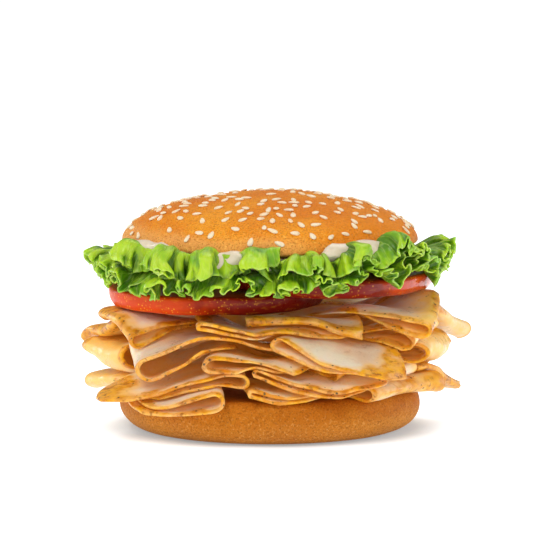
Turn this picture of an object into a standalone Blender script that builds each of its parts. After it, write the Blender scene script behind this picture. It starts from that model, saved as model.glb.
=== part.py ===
"""A sliced turkey sandwich on a sesame bun, built from the bottom up.

Every piece is laid on the pieces below it, as when the sandwich is made: a height map keeps the top
of all that lies there already, and each new piece is lowered until it rests on it.
The origin is the middle of the bun heel's flat foot. +Z is up and the front of the sandwich faces -Y.
"""

import math
from dataclasses import dataclass

import bmesh
import bpy
import numpy as np
from mathutils import Matrix, Vector

# Every length below is in millimetres, and MM turns it into the metres of the scene.
MM = 0.001

# Bun heel: a low round cushion, flat below and above.
HEEL_RADIUS = 57.0
HEEL_HEIGHT = 16.5
HEEL_FOOT_RADIUS = 45.0
HEEL_TOP_RADIUS = 52.0
HEEL_WIDEST_AT = 9.5
BUN_STEPS = 32

# Bun crown: a flattened dome whose lower lip curls in under it.
CROWN_RADIUS = 56.0
CROWN_BASE = 70.3
CROWN_HEIGHT = 20.0
CROWN_CUT_RADIUS = 50.0
CROWN_WIDEST_AT = 1.8
CROWN_ROUNDNESS = 1.85

# Sesame seeds, fused to the crown.
SEED_COUNT = 60
SEED_LENGTH = 3.5
SEED_WIDTH = 2.2
SEED_THICKNESS = 1.3
SEED_REACH_DEG = 70.0

# Turkey: thin folded slices, laid loosely and then pressed down together by what lies on them.
SLICE_THICKNESS = 1.5
SLICE_CORNER = 0.26
REST_GAP = 0.42
FOLD_GAP = 0.5
RIPPLE = 0.8
LOOP_LEAST = 4.6
LOOP_MOST = 17.0
PRESS = 0.68

# Tomato slices: the right one lies partly on the left one, its outer end a little lower.
TOMATO_RADIUS = 41.0
TOMATO_THICKNESS = 7.0
TOMATO_OFFSET = 20.6
TOMATO_Y = -4.0
TOMATO_TILT_DEG = 1.2
TOMATO_STEPS = 28

# Lettuce leaves: flat between tomato and bun, frilled from the frill's start out to the rim.
LEAF_COUNT = 3
LEAF_THICKNESS = 0.9
LEAF_INNER_RADIUS = 36.0
LEAF_FRILL_RADIUS = 57.0
LEAF_FRONT_RADIUS = 64.0
LEAF_SIDE_RADIUS = 69.0
LEAF_WAVES = 14
LEAF_WAVE_HEIGHT = 9.0
LEAF_MIDDLE = 66.5
LEAF_LOWEST = 56.0

# Mayonnaise between the leaves and the crown, squeezed out in lobes: direction and half width in
# degrees, and the height of the lobe's top.
MAYO_INNER_RADIUS = 49.0
MAYO_RADIUS = 51.0
MAYO_LOBE_RADIUS = 61.0
MAYO_LEAST = 0.35
MAYO_LOBES = ((-57, 13, 77.0), (-106, 8, 74.0), (-139, 10, 76.0), (70, 14, 75.5))

# The height map's square and cell.
MAP_HALF = 86.0
MAP_CELL = 1.0
BELOW_ALL = -40.0


@dataclass(frozen=True)
class Slice:
    """One folded slice of turkey: where its fold lies, which way the fold points, and its size."""

    name: str
    x: float
    y: float
    heading: float
    width: float
    low: float
    high: float
    crest: float
    limp: float = 0.7
    columns: int = 5


# From the bottom of the pile to its top. Heading is the direction that the fold points, in degrees
# from +X; low and high are the reach of the lower and the upper leaf from the fold; crest is the
# height that the top of the fold reaches where there is room; limp is the steepest slope at which
# the slice hangs over an edge; columns is the number of cells across it.
SLICES = (
    Slice("left_low", -61, -1, 206, 44, 32, 34, 22, 0.4),
    Slice("back_low", 10, 60, 92, 52, 34, 32, 23, 0.4, 4),
    Slice("front_low_left", -19, -42, 6, 38, 36, 33, 24, 0.35),
    Slice("right_low_front", 52, -32, -36, 46, 32, 30, 22, 0.35),
    Slice("front_low_mid", -9, -44, 186, 30, 40, 36, 21, 0.4),
    Slice("right_low", 65, 1, -24, 44, 30, 30, 25, 0.45),
    Slice("back_mid_left", -46, 40, 138, 50, 32, 30, 31, 0.5, 4),
    Slice("left_tip", -10, -34, 8, 42, 44, 58, 28, 0.5),
    Slice("front_mid", 0, -36, 166, 40, 40, 44, 28, 0.5),
    Slice("left_mid", -64, -8, 205, 38, 30, 34, 34),
    Slice("back_mid_right", 46, 42, 44, 50, 32, 30, 34, 0.7, 4),
    Slice("back_mid", -2, 60, 87, 46, 32, 30, 35, 0.7, 4),
    Slice("front_right", 40, -41, -48, 40, 30, 30, 32, 0.6),
    Slice("right_mid", 64, -14, -14, 42, 32, 30, 37),
    Slice("front_corner", -24, -39, 176, 38, 38, 46, 35),
    Slice("front_roll", -51, -38, 187, 40, 40, 86, 43.5),
    Slice("right_corner", 10, -34, 154, 38, 36, 44, 42),
    Slice("right_mid_front", 58, -24, -16, 38, 32, 36, 44),
    Slice("left_top", -65, 1, 204, 36, 32, 34, 43.5),
    Slice("back_top", 2, 57, 94, 50, 32, 30, 46, 0.7, 4),
    Slice("left_top_front", -58, -24, 199, 36, 34, 44, 47),
    Slice("front_top_left", -28, -38, 184, 34, 36, 58, 47),
    Slice("back_top_right", 44, 42, 44, 46, 30, 28, 48.5, 0.7, 4),
    Slice("back_top_left", -44, 42, 134, 46, 30, 28, 46.5, 0.7, 4),
    Slice("right_top_back", 68, 6, -25, 38, 30, 30, 51),
    Slice("top_middle", 30, -2, -58, 54, 40, 36, 53.5, 0.7, 4),
    Slice("front_top", 13, -47, -88, 44, 30, 30, 48),
    Slice("right_top_front", 62, -29, -10, 36, 34, 50, 53.5),
)


def pressed(height):
    """A loose pile's height after pressing."""
    return HEEL_HEIGHT + (height - HEEL_HEIGHT) * PRESS


def loose(height):
    """The height in the loose pile that pressing brings to this height."""
    return HEEL_HEIGHT + (height - HEEL_HEIGHT) / PRESS


def cells(grid):
    """The two triangles of every cell of a grid of points."""
    a, b, c, d = grid[:-1, :-1], grid[1:, :-1], grid[1:, 1:], grid[:-1, 1:]
    pairs = np.stack([np.stack([a, b, c], 2), np.stack([a, c, d], 2)], 2)
    return pairs.reshape(-1, 3, grid.shape[2])


class HeightMap:
    """The top of everything laid down so far, in columns on a square grid."""

    def __init__(self):
        self.axis = np.arange(-MAP_HALF, MAP_HALF + MAP_CELL / 2, MAP_CELL)
        count = len(self.axis)
        self.top = np.full((count, count), BELOW_ALL)

    def columns(self, corners):
        """The block of grid columns round a triangle and its corners' weights in each, or None."""
        low = np.ceil((corners.min(0)[:2] + MAP_HALF) / MAP_CELL).astype(int)
        high = np.floor((corners.max(0)[:2] + MAP_HALF) / MAP_CELL).astype(int) + 1
        a, b, c = corners[:, :2]
        area = (b[0] - a[0]) * (c[1] - a[1]) - (c[0] - a[0]) * (b[1] - a[1])
        if abs(area) < 1e-6 or (high <= low).any():
            return None
        block = (slice(low[0], high[0]), slice(low[1], high[1]))
        gx = self.axis[block[0], None]
        gy = self.axis[None, block[1]]
        near_b = ((gx - a[0]) * (c[1] - a[1]) - (c[0] - a[0]) * (gy - a[1])) / area
        near_c = ((b[0] - a[0]) * (gy - a[1]) - (gx - a[0]) * (b[1] - a[1])) / area
        weights = np.stack([1 - near_b - near_c, near_b, near_c], -1)
        weights[weights.min(-1) < -1e-9] = np.nan
        return block, weights

    def upper(self, triangles):
        """This map's tops with the triangles drawn in, the higher surface kept in each column."""
        top = self.top.copy()
        for corners in triangles:
            found = self.columns(corners)
            if found:
                block, weights = found
                top[block] = np.fmax(top[block], weights @ corners[:, 2])
        return top

    def sunk(self, triangles, gap):
        """How far the triangles' deepest point lies under the gap above this map."""
        worst = 0.0
        for corners in triangles:
            found = self.columns(corners)
            if found:
                block, weights = found
                short = self.top[block] + gap - weights @ corners[:, 2]
                worst = max(worst, np.fmax.reduce(short, None))
        return worst

    def lifted(self, grid, rounds=25):
        """A grid of points raised until none of its triangles lies below this map."""
        raised = grid.copy()
        numbers = np.arange(grid.shape[0] * grid.shape[1]).reshape(grid.shape[:2] + (1,))
        triples = cells(numbers)[..., 0]
        points = raised.reshape(-1, 3)
        for _ in range(rounds):
            need = np.zeros(len(points))
            for triple in triples:
                corners = points[triple]
                found = self.columns(corners)
                if found is None or np.isnan(found[1]).all():
                    continue
                block, weights = found
                short = self.top[block] - weights @ corners[:, 2]
                deepest = np.unravel_index(np.nanargmax(short), short.shape)
                if short[deepest] > 0:
                    share = weights[deepest]
                    lift = short[deepest] * share / (share @ share)
                    need[triple] = np.maximum(need[triple], lift)
            points[:, 2] += need
            if need.max() < 0.02:
                break
        return points.reshape(grid.shape)

    def lay(self, triangles):
        """Keeps the triangles' top as part of the map."""
        self.top = self.upper(triangles)

    def sample(self, field, points):
        """The field's value at each (x, y), read between the four columns round it."""
        place = np.clip((points[:, :2] + MAP_HALF) / MAP_CELL, 0, len(self.axis) - 1.001)
        index = place.astype(int)
        share = place - index
        i, j = index.T
        s, t = share.T
        return (
            field[i, j] * (1 - s) * (1 - t)
            + field[i + 1, j] * s * (1 - t)
            + field[i, j + 1] * (1 - s) * t
            + field[i + 1, j + 1] * s * t
        )


def draped(top, slope, reach=34):
    """The lowest surface over a height map that is nowhere steeper than the slope."""
    surface = top.copy()
    for _ in range(reach):
        for axis in (0, 1):
            for step in (-1, 1):
                moved = np.roll(surface, step, axis) - slope * MAP_CELL
                np.maximum(surface, moved, out=surface)
        for step in ((1, 1), (1, -1), (-1, 1), (-1, -1)):
            moved = np.roll(surface, step, (0, 1)) - slope * MAP_CELL * math.sqrt(2)
            np.maximum(surface, moved, out=surface)
    return surface


def blurred(field, radius):
    """The field smoothed by a Gaussian of this radius, in millimetres."""
    reach = int(3 * radius / MAP_CELL)
    weights = np.exp(-0.5 * (np.arange(-reach, reach + 1) * MAP_CELL / radius) ** 2)
    weights /= weights.sum()
    for axis in (0, 1):
        field = sum(w * np.roll(field, k - reach, axis) for k, w in enumerate(weights))
    return field


def smooth_cover(top, slope, radius=2.0):
    """A smooth surface that lies over the height map: draped, blurred, and raised where blurring cut in."""
    floor = draped(top, slope)
    surface = blurred(floor, radius)
    for _ in range(4):
        surface = surface + blurred(np.maximum(floor - surface, 0), radius / 2)
    return np.maximum(surface, floor)


def material(name, colour, roughness):
    """A plain Principled material."""
    made = bpy.data.materials.new(name)
    made.use_nodes = True
    shader = made.node_tree.nodes["Principled BSDF"]
    shader.inputs["Base Color"].default_value = (*colour, 1)
    shader.inputs["Roughness"].default_value = roughness
    return made


def new_object(name, mesh, finish):
    """An object of this mesh, in the sandwich's collection."""
    obj = bpy.data.objects.new(name, mesh)
    mesh.materials.append(finish)
    sandwich.objects.link(obj)
    return obj


def mesh_from(bm, name):
    """A mesh datablock from a bmesh in millimetres, scaled to metres."""
    bmesh.ops.scale(bm, vec=(MM, MM, MM), verts=bm.verts)
    mesh = bpy.data.meshes.new(name)
    bm.to_mesh(mesh)
    bm.free()
    mesh.shade_smooth()
    return mesh


def solid_triangles(obj):
    """The evaluated object's triangles in millimetres."""
    graph = bpy.context.evaluated_depsgraph_get()
    evaluated = obj.evaluated_get(graph)
    mesh = evaluated.to_mesh()
    mesh.calc_loop_triangles()
    points = np.empty(len(mesh.vertices) * 3)
    mesh.vertices.foreach_get("co", points)
    index = np.empty(len(mesh.loop_triangles) * 3, int)
    mesh.loop_triangles.foreach_get("vertices", index)
    evaluated.to_mesh_clear()
    return points.reshape(-1, 3)[index.reshape(-1, 3)] / MM


def settle(obj, stack):
    """Lifts a piece by as much as it still cuts into the stack, then lays it on the stack."""
    triangles = solid_triangles(obj)
    lift = stack.sunk(triangles, REST_GAP / 2)
    for vertex in obj.data.vertices:
        vertex.co.z += lift * MM
    triangles[..., 2] += lift
    stack.lay(triangles)


def turned(name, profile, steps):
    """A mesh turned round Z from a profile of (radius, height) that runs from the top to the bottom."""
    curve = bpy.data.meshes.new(name + "_profile")
    edges = [(i, i + 1) for i in range(len(profile) - 1)]
    curve.from_pydata([(r * MM, 0, z * MM) for r, z in profile], edges, [])
    helper = bpy.data.objects.new(name + "_profile", curve)
    sandwich.objects.link(helper)
    screw = helper.modifiers.new("turn", "SCREW")
    screw.steps = steps
    screw.render_steps = steps
    screw.use_merge_vertices = True
    screw.merge_threshold = 0.00001
    graph = bpy.context.evaluated_depsgraph_get()
    mesh = bpy.data.meshes.new_from_object(helper.evaluated_get(graph))
    bpy.data.objects.remove(helper)
    mesh.name = name
    return mesh


def arc(centre, radii, start, end, count):
    """Points on an ellipse's arc, in degrees, as (radius, height) pairs."""
    angles = np.radians(np.linspace(start, end, count))
    return [(centre[0] + radii[0] * math.cos(a), centre[1] + radii[1] * math.sin(a)) for a in angles]


def make_heel():
    """The bun heel: rounded flank, flat foot and flat cut top."""
    upper = HEEL_HEIGHT - HEEL_WIDEST_AT
    profile = [(0, HEEL_HEIGHT), (HEEL_TOP_RADIUS * 0.6, HEEL_HEIGHT)]
    profile += arc((HEEL_TOP_RADIUS, HEEL_WIDEST_AT), (HEEL_RADIUS - HEEL_TOP_RADIUS, upper), 90, 0, 3)
    lower = (HEEL_RADIUS - HEEL_FOOT_RADIUS, HEEL_WIDEST_AT)
    profile += arc((HEEL_FOOT_RADIUS, HEEL_WIDEST_AT), lower, -25, -90, 4)
    profile += [(0, 0)]
    return new_object("bun_heel", turned("bun_heel", profile, BUN_STEPS), crust)


def crown_profile():
    """The crown's half outline: dome, widest line, curled lip and flat cut face."""
    shoulder = CROWN_BASE + CROWN_WIDEST_AT
    rise = CROWN_HEIGHT - CROWN_WIDEST_AT
    dome = []
    for angle in np.radians(np.linspace(90, 0, 10)):
        radius = CROWN_RADIUS * math.cos(angle) ** (2 / CROWN_ROUNDNESS)
        dome.append((radius, shoulder + rise * math.sin(angle) ** (2 / CROWN_ROUNDNESS)))
    dome[0] = (0, shoulder + rise)
    curl = (CROWN_RADIUS - CROWN_CUT_RADIUS, CROWN_WIDEST_AT)
    lip = arc((CROWN_CUT_RADIUS, shoulder), curl, -25, -90, 4)
    return dome + lip + [(0, CROWN_BASE)]


def seed_places():
    """Places for seeds spread evenly over the dome by the golden angle, each jittered a little."""
    draw = np.random.default_rng(5)
    golden = math.pi * (3 - math.sqrt(5))
    for i in range(SEED_COUNT):
        share = math.sqrt((i + 0.5) / SEED_COUNT)
        reach = share * CROWN_RADIUS * math.sin(math.radians(SEED_REACH_DEG)) + draw.normal(0, 1.0)
        yield abs(reach), i * golden + draw.normal(0, 0.05), draw.uniform(0, math.pi)


def dome_height(radius):
    """The crown's upper surface at this radius."""
    rise = CROWN_HEIGHT - CROWN_WIDEST_AT
    inner = max(0.0, 1 - (radius / CROWN_RADIUS) ** CROWN_ROUNDNESS)
    return CROWN_BASE + CROWN_WIDEST_AT + rise * inner ** (1 / CROWN_ROUNDNESS)


def make_seeds(collection):
    """Closed seeds, half sunk in the dome, in a collection of their own."""
    for number, (radius, around, spin) in enumerate(seed_places()):
        step = 0.5
        slope = (dome_height(radius - step) - dome_height(radius + step)) / (2 * step)
        tilt = math.atan(slope)
        bm = bmesh.new()
        bmesh.ops.create_icosphere(bm, subdivisions=1, radius=0.5)
        size = Matrix.Diagonal((SEED_LENGTH, SEED_WIDTH, SEED_THICKNESS, 1))
        lie = Matrix.Rotation(around, 4, "Z") @ Matrix.Translation((radius, 0, dome_height(radius)))
        lie = lie @ Matrix.Rotation(tilt, 4, "Y") @ Matrix.Rotation(spin, 4, "Z")
        lie = lie @ Matrix.Translation((0, 0, SEED_THICKNESS * 0.2))
        bmesh.ops.transform(bm, matrix=lie @ size, verts=bm.verts)
        seed = bpy.data.objects.new(f"seed_{number}", mesh_from(bm, f"seed_{number}"))
        collection.objects.link(seed)


def make_crown():
    """The bun crown with its seeds joined on."""
    crown = new_object("bun_crown", turned("bun_crown", crown_profile(), BUN_STEPS), crust)
    seeds = bpy.data.collections.new("seeds")
    bpy.context.scene.collection.children.link(seeds)
    make_seeds(seeds)
    join = crown.modifiers.new("join seeds", "BOOLEAN")
    join.operation = "UNION"
    join.operand_type = "COLLECTION"
    join.collection = seeds
    join.solver = "MANIFOLD"
    graph = bpy.context.evaluated_depsgraph_get()
    crown.data = bpy.data.meshes.new_from_object(crown.evaluated_get(graph))
    crown.modifiers.clear()
    for seed in list(seeds.objects):
        bpy.data.objects.remove(seed)
    bpy.data.collections.remove(seeds)
    return crown


class FoldedSlice:
    """The grid of one folded slice: rows from the lower leaf's tip, round the fold, to the upper leaf's tip."""

    LOW_ROWS = 3
    FOLD_ANGLES = (-50, 0, 50)
    HIGH_ROWS = 4

    def __init__(self, spec, phase, stack):
        self.spec = spec
        self.phase = phase
        self.stack = stack
        self.cover = smooth_cover(stack.top, spec.limp) + REST_GAP
        self.out = np.array([math.cos(math.radians(spec.heading)), math.sin(math.radians(spec.heading))])
        self.side = np.array([-self.out[1], self.out[0]])
        line = np.linspace(-0.45, 0.45, 7)[:, None] * spec.width
        fold = np.array([spec.x, spec.y]) + line * self.side
        room = loose(spec.crest) - float(stack.sample(self.cover, fold).max())
        self.loop = min(max(room, LOOP_LEAST), LOOP_MOST)
        self.bulge = (self.loop - SLICE_THICKNESS) / 2
        rows = [(reach, None) for reach in np.linspace(spec.low, self.bulge, self.LOW_ROWS + 1)]
        rows += [(0, math.radians(angle)) for angle in self.FOLD_ANGLES]
        rows += [(reach, None) for reach in np.linspace(self.bulge, spec.high, self.HIGH_ROWS + 1)]
        self.rows = rows
        self.first_high = self.LOW_ROWS + 1 + len(self.FOLD_ANGLES)

    def local(self, row, across):
        """(inward, sideways) place of a grid point, across from -1 to 1."""
        reach, turn = self.rows[row]
        spec = self.spec
        if turn is not None:
            inward = self.bulge * (1 - math.cos(turn))
            return inward, across * spec.width / 2
        limit = spec.low if row < self.first_high else spec.high
        share = (reach - self.bulge) / (limit - self.bulge)
        wobble = 1 + 0.05 * math.sin(3 * across + self.phase)
        inward = self.bulge + (reach - self.bulge) * (1 - SLICE_CORNER * across**2) * wobble
        sideways = across * spec.width / 2 * (1 - SLICE_CORNER * share**2)
        return inward, sideways

    def plan(self):
        """Plan positions of all grid points, row by row, and their local places."""
        places = []
        local = []
        for row in range(len(self.rows)):
            for column in range(self.spec.columns + 1):
                across = 2 * column / self.spec.columns - 1
                inward, sideways = self.local(row, across)
                spot = np.array([self.spec.x, self.spec.y]) - inward * self.out + sideways * self.side
                places.append(spot)
                local.append((inward, sideways))
        return np.array(places), np.array(local)

    def leaf(self, places, heights, rows):
        """The part of the grid in these rows."""
        grid = np.column_stack([places, heights]).reshape(len(self.rows), -1, 3)
        return grid[rows]

    def heights(self):
        """Heights of all grid points of the middle surface, resting on the stack."""
        spec = self.spec
        places, local = self.plan()
        rise = SLICE_THICKNESS / 2 * math.sqrt(1 + spec.limp**2 / 2)
        edge = np.abs(local[:, 1]) / (spec.width / 2)
        floor = HeightMap()
        floor.top = self.stack.top + REST_GAP + rise
        low = self.stack.sample(self.cover + rise, places)
        low += RIPPLE * edge**2 * (0.5 + 0.5 * np.sin(local[:, 0] / 6.5 + self.phase))
        lower = floor.lifted(self.leaf(places, low, slice(0, self.LOW_ROWS + 2)))
        under = lower.copy()
        under[..., 2] += 2 * rise + FOLD_GAP
        floor.top = floor.upper(cells(under))
        high = self.stack.sample(smooth_cover(floor.top, spec.limp), places)
        inward = np.clip((local[:, 0] - self.bulge) / (0.8 * spec.high), 0, 1)
        lift = (self.loop - SLICE_THICKNESS) * (1 - inward * inward * (3 - 2 * inward))
        high = np.maximum(high, np.minimum(low + lift, loose(spec.crest) - SLICE_THICKNESS / 2))
        high += RIPPLE * edge**2 * (0.5 + 0.5 * np.sin(local[:, 0] / 5.5 + 2 * self.phase))
        upper = floor.lifted(self.leaf(places, high, slice(self.first_high, None)))
        foot = lower[self.LOW_ROWS, :, 2]
        head = upper[0, :, 2]
        fold = [
            (foot + head) / 2 + (head - foot) / 2 * math.sin(turn)
            for _, turn in self.rows[self.LOW_ROWS + 1 : self.first_high]
        ]
        return places, np.concatenate([lower[: self.LOW_ROWS + 1, :, 2], fold, upper[..., 2]]).reshape(-1)

    def build(self):
        """The slice as an open grid with Solidify, settled on the stack."""
        places, heights = self.heights()
        bm = bmesh.new()
        bmesh.ops.create_grid(bm, x_segments=self.spec.columns, y_segments=len(self.rows) - 1, size=1)
        bm.verts.ensure_lookup_table()
        for vertex, place, height in zip(bm.verts, places, heights):
            vertex.co = Vector((place[0], place[1], height))
        bmesh.ops.reverse_faces(bm, faces=bm.faces)
        obj = new_object("turkey_" + self.spec.name, mesh_from(bm, self.spec.name), meat)
        shell = obj.modifiers.new("thickness", "SOLIDIFY")
        shell.thickness = SLICE_THICKNESS * MM
        shell.offset = 0
        shell.use_even_offset = True
        settle(obj, self.stack)
        return obj


def make_turkey(stack):
    """All the slices, laid one on another and then pressed; gives the new stack."""
    pile = [FoldedSlice(spec, 2.4 * number, stack).build() for number, spec in enumerate(SLICES)]
    graph = bpy.context.evaluated_depsgraph_get()
    press = Matrix.Translation((0, 0, pressed(0) * MM)) @ Matrix.Diagonal((1, 1, PRESS, 1))
    for piece in pile:
        mesh = bpy.data.meshes.new_from_object(piece.evaluated_get(graph))
        mesh.transform(press)
        piece.modifiers.clear()
        piece.data = mesh
    after = HeightMap()
    after.top = pressed(stack.top)
    return after


def make_tomato(name, side, tilt, stack):
    """One round tomato slice with a soft edge, laid on the stack."""
    half = TOMATO_THICKNESS / 2
    profile = [(0, half), (TOMATO_RADIUS - 1.3, half), (TOMATO_RADIUS, half * 0.5)]
    profile += [(r, -z) for r, z in reversed(profile)]
    mesh = turned(name, profile, TOMATO_STEPS)
    lean = Matrix.Rotation(math.radians(tilt), 3, "Y")
    for vertex in mesh.vertices:
        around = math.atan2(vertex.co.y, vertex.co.x)
        vertex.co.xy *= 1 + 0.012 * math.cos(3 * around + side) + 0.008 * math.cos(7 * around)
        vertex.co = lean @ vertex.co
        vertex.co += Vector((side * TOMATO_OFFSET, TOMATO_Y, 0)) * MM
    tomato = new_object(name, mesh, flesh)
    settle(tomato, stack)
    return tomato


def leaf_radius(around):
    """The leaf rim's distance from the middle: further out at the sides than in front and behind."""
    sides = abs(math.cos(around)) ** 1.5
    return LEAF_FRONT_RADIUS + (LEAF_SIDE_RADIUS - LEAF_FRONT_RADIUS) * sides


def make_leaf(number, stack):
    """One lettuce leaf: a sector draped over the tomatoes whose outer rim stands in frills."""
    rows = 5
    columns = 24
    cover = smooth_cover(stack.top, 0.45) + REST_GAP + LEAF_THICKNESS / 2
    start = math.radians(-150 + 360 / LEAF_COUNT * number)
    grid = np.zeros((rows + 1, columns + 1, 3))
    for column in range(columns + 1):
        share = column / columns
        around = start + share * math.tau / LEAF_COUNT
        edge = 0.8 * (1 - 2 * share) ** 9
        rim = leaf_radius(around)
        reaches = [LEAF_INNER_RADIUS, 49, *np.linspace(LEAF_FRILL_RADIUS, rim, rows - 1)]
        for row, reach in enumerate(reaches):
            frill = max(0.0, (reach - LEAF_FRILL_RADIUS) / (rim - LEAF_FRILL_RADIUS))
            wave = LEAF_WAVES * around + 1.1 * math.sin(2 * around + number) + 0.7 * math.sin(5 * around)
            out = reach + 2.2 * frill * math.cos(wave + 0.6) + 1.2 * frill * math.sin(2 * wave + 1)
            side = edge + 2.0 * frill * math.sin(wave)
            ahead = np.array([math.cos(around), math.sin(around)])
            spot = out * ahead + side * np.array([-ahead[1], ahead[0]])
            grid[row, column, :2] = spot
            laid = max(LEAF_LOWEST, float(stack.sample(cover, spot[None])[0]))
            swing = LEAF_WAVE_HEIGHT * (0.85 + 0.15 * math.sin(3.7 * around + number))
            wavy = LEAF_MIDDLE + swing * math.sin(wave + 1.1 * frill) * frill**0.7
            grid[row, column, 2] = laid * (1 - frill**0.5) + wavy * frill**0.5
    floor = HeightMap()
    floor.top = stack.top + REST_GAP + LEAF_THICKNESS * 0.75
    grid = floor.lifted(grid)
    bm = bmesh.new()
    bmesh.ops.create_grid(bm, x_segments=columns, y_segments=rows, size=1)
    bm.verts.ensure_lookup_table()
    for vertex, point in zip(bm.verts, grid.reshape(-1, 3)):
        vertex.co = point
    obj = new_object(f"lettuce_leaf_{number + 1}", mesh_from(bm, f"leaf_{number + 1}"), leaf)
    shell = obj.modifiers.new("thickness", "SOLIDIFY")
    shell.thickness = LEAF_THICKNESS * MM
    shell.offset = 0
    return obj


def joined(ring):
    """A grid that runs once round, with its first and last columns at one height."""
    ring[:, 0, 2] = ring[:, -1, 2] = np.maximum(ring[:, 0, 2], ring[:, -1, 2])
    return ring


def mayonnaise_angles():
    """Directions in degrees, each with how far the spread bulges and rises there, from 0 to 1, and its top."""
    found = []
    for direction, half, top in MAYO_LOBES:
        flanks = ((half + 9, 0, 0), (half + 4.5, 1, 0), (half, 1, 0.85), (half * 0.4, 1, 1))
        for off, bulge, swell in flanks:
            found += [(direction - off, bulge, swell, top), (direction + off, bulge, swell, top)]
    found.sort()
    gaps = list(zip(found, found[1:] + [(found[0][0] + 360, 0, 0, 0)]))
    for before, after in gaps:
        wide = after[0] - before[0]
        count = int(wide / 20)
        found += [(before[0] + wide * k / count, 0, 0, CROWN_BASE) for k in range(1, count)]
    found.sort()
    return found + [(found[0][0] + 360, *found[0][1:])]


def make_mayonnaise(stack):
    """Mayonnaise: a spread that fills the room under the crown, with lobes pressed out round its lip."""
    angles = mayonnaise_angles()
    reaches = (MAYO_INNER_RADIUS, 56.7, 57.3, 59, MAYO_LOBE_RADIUS)
    lower = np.zeros((len(reaches), len(angles), 3))
    wanted = np.full((len(reaches), len(angles)), CROWN_BASE - REST_GAP)
    for step, (direction, bulge, swell, crest) in enumerate(angles):
        around = math.radians(direction)
        for row, reach in enumerate(reaches):
            spread = min(reach, MAYO_RADIUS) + max(0.0, reach - MAYO_RADIUS) * max(bulge, 0.03)
            lower[row, step, :2] = (spread * math.cos(around), spread * math.sin(around))
            if spread > CROWN_RADIUS + 1:
                roundness = 0.7 if reach == MAYO_LOBE_RADIUS else 1.0
                wanted[row, step] += (crest - CROWN_BASE) * swell * roundness
    points = lower.reshape(-1, 3)
    points[:, 2] = stack.sample(smooth_cover(stack.top, 0.6), points) + REST_GAP
    floor = HeightMap()
    floor.top = stack.top + REST_GAP
    lower = joined(floor.lifted(lower))
    floor.top += MAYO_LEAST
    upper = lower.copy()
    upper[..., 2] = np.maximum(wanted, lower[..., 2] + MAYO_LEAST)
    upper = joined(floor.lifted(upper[::-1])[::-1])
    profile = np.concatenate([lower, upper[::-1], lower[:1]])
    bm = bmesh.new()
    bmesh.ops.create_grid(bm, x_segments=len(angles) - 1, y_segments=len(profile) - 1, size=1)
    bm.verts.ensure_lookup_table()
    for vertex, point in zip(bm.verts, profile.reshape(-1, 3)):
        vertex.co = point
    bmesh.ops.remove_doubles(bm, verts=bm.verts, dist=0.001)
    bmesh.ops.recalc_face_normals(bm, faces=bm.faces)
    return new_object("mayonnaise", mesh_from(bm, "mayonnaise"), cream)


bpy.context.preferences.edit.use_global_undo = False
for leftover in list(bpy.data.objects):
    bpy.data.objects.remove(leftover)
sandwich = bpy.data.collections.new("turkey_sandwich")
bpy.context.scene.collection.children.link(sandwich)
crust = material("bun crust", (0.72, 0.33, 0.10), 0.6)
meat = material("sliced turkey", (0.80, 0.58, 0.40), 0.5)
flesh = material("tomato", (0.62, 0.07, 0.03), 0.25)
leaf = material("lettuce", (0.22, 0.48, 0.06), 0.45)
cream = material("mayonnaise", (0.90, 0.86, 0.74), 0.35)

stack = HeightMap()
heel = make_heel()
stack.lay(solid_triangles(heel))
stack = make_turkey(stack)
make_tomato("tomato_left", -1, 0, stack)
make_tomato("tomato_right", 1, TOMATO_TILT_DEG, stack)
leaves = [make_leaf(number, stack) for number in range(LEAF_COUNT)]
for obj in leaves:
    settle(obj, stack)
mayo = make_mayonnaise(stack)
settle(mayo, stack)
crown = make_crown()
settle(crown, stack)
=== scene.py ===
"""The looks of a turkey sandwich on a sesame bun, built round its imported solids.

Sizes are in millimetres, and MM turns them into the metres of the scene. The origin is the middle of
the bun heel's foot, +Z is up and the front of the sandwich faces -Y.
"""

import logging
import math
from collections.abc import Callable
from dataclasses import dataclass, field
from enum import Enum

import bmesh
import bpy
import numpy as np
from mathutils import Matrix, Vector, noise
from mathutils.bvhtree import BVHTree

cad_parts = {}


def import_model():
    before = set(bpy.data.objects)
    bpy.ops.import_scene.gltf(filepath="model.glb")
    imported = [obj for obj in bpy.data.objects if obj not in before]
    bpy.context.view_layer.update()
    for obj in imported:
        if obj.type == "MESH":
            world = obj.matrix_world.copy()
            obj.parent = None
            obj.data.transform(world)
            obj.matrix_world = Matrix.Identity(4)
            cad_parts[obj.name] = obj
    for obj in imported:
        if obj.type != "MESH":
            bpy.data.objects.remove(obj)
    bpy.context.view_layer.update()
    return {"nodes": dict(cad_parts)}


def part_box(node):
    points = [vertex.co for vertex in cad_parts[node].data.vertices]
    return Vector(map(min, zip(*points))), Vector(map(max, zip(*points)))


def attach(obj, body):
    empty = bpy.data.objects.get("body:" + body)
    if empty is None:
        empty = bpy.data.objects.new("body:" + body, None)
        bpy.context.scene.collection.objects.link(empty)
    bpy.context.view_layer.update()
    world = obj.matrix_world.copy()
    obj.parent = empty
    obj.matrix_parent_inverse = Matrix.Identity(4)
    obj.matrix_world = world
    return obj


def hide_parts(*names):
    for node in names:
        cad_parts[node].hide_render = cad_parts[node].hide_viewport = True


log = logging.getLogger("sandwich")

MM = 0.001
NOISE_SEED = 7
MERGE_GAP = 0.002
QUAD_ANGLE = 3.1
BLACK = (0, 0, 0)
Colour = tuple[float, float, float]
Point = tuple[float, float]
Profile = list[Point]
Wave = tuple[float, float, float]


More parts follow.
